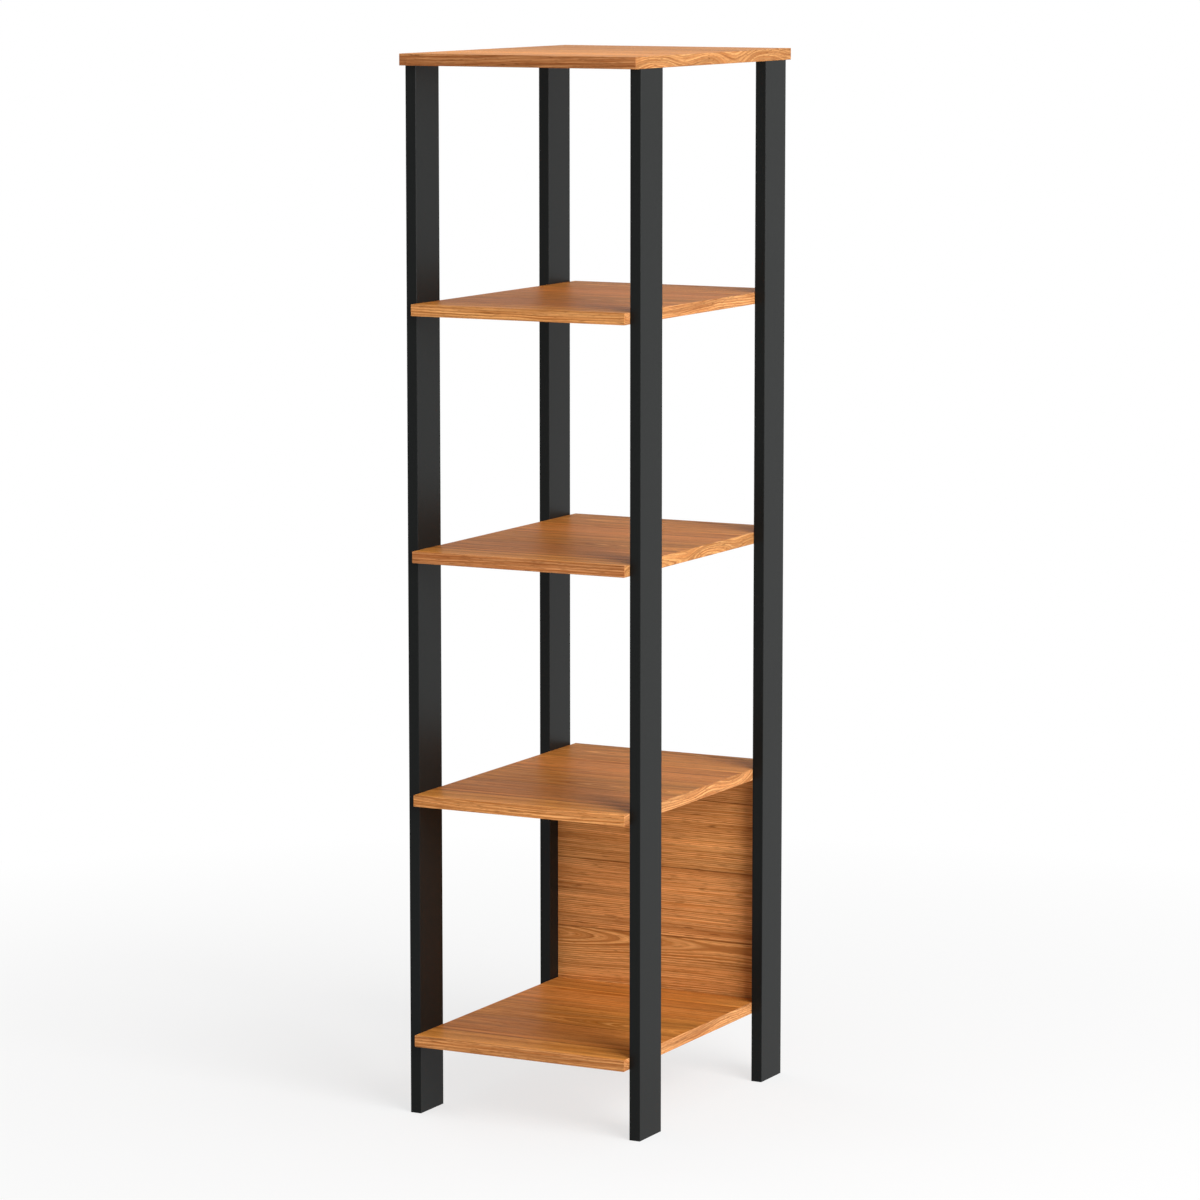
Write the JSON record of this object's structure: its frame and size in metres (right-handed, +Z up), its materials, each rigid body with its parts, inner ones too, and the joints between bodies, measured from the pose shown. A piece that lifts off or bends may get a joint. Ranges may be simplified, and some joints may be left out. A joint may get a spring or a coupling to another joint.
{
  "type": "shelving unit",
  "caption": "Tall narrow open shelving unit with thin charcoal posts, wood-decor shelves between them, a top board over them and a low back panel behind the bottom compartment.",
  "frame": {"origin": "on the floor, at the centre of the footprint", "axes": "+X to the right seen from the front, +Y to the back (the panel is at the back), +Z up"},
  "size_m": [0.4, 0.536, 1.64],
  "materials": {
    "wood_decor_board": "particleboard with a printed oak decor, matt melamine",
    "wood_decor_edge_band": "printed oak decor edge band, matt",
    "charcoal_board": "particleboard with a plain charcoal melamine face, matt",
    "charcoal_edge_band": "plain charcoal edge band, matt",
    "zinc_plated_steel": "bright zinc plate",
    "zinc_alloy": "as cast, tumbled",
    "beech": "planed, unfinished",
    "wood_tone_plastic": "moulded, matt"
  },
  "bodies": {
    "root": {"bottom_shelf": "wood_decor_board", "bottom_shelf_back_band": "wood_decor_edge_band", "bottom_shelf_cam_bolts": "zinc_plated_steel", "bottom_shelf_cams": "zinc_alloy", "bottom_shelf_dowels": "beech", "bottom_shelf_end_bands": "wood_decor_edge_band", "bottom_shelf_front_band": "wood_decor_edge_band", "foot_bands": "charcoal_edge_band", "front_left_post": "charcoal_board", "front_left_post_edge_bands": "charcoal_edge_band", "front_right_post": "charcoal_board", "front_right_post_edge_bands": "charcoal_edge_band", "lower_back_panel": "wood_decor_board", "lower_back_panel_dowels": "beech", "lower_shelf": "wood_decor_board", "lower_shelf_back_band": "wood_decor_edge_band", "lower_shelf_cam_bolts": "zinc_plated_steel", "lower_shelf_cams": "zinc_alloy", "lower_shelf_dowels": "beech", "lower_shelf_end_bands": "wood_decor_edge_band", "lower_shelf_front_band": "wood_decor_edge_band", "middle_shelf": "wood_decor_board", "middle_shelf_back_band": "wood_decor_edge_band", "middle_shelf_cam_bolts": "zinc_plated_steel", "middle_shelf_cams": "zinc_alloy", "middle_shelf_dowels": "beech", "middle_shelf_end_bands": "wood_decor_edge_band", "middle_shelf_front_band": "wood_decor_edge_band", "rear_left_post": "charcoal_board", "rear_left_post_edge_bands": "charcoal_edge_band", "rear_right_post": "charcoal_board", "rear_right_post_edge_bands": "charcoal_edge_band", "top_board": "wood_decor_board", "top_board_back_band": "wood_decor_edge_band", "top_board_end_bands": "wood_decor_edge_band", "top_board_front_band": "wood_decor_edge_band", "top_dowels": "beech", "top_screw_caps": "wood_tone_plastic", "top_screws": "zinc_plated_steel", "upper_shelf": "wood_decor_board", "upper_shelf_back_band": "wood_decor_edge_band", "upper_shelf_cam_bolts": "zinc_plated_steel", "upper_shelf_cams": "zinc_alloy", "upper_shelf_dowels": "beech", "upper_shelf_end_bands": "wood_decor_edge_band", "upper_shelf_front_band": "wood_decor_edge_band"}
  },
  "joints": []
}
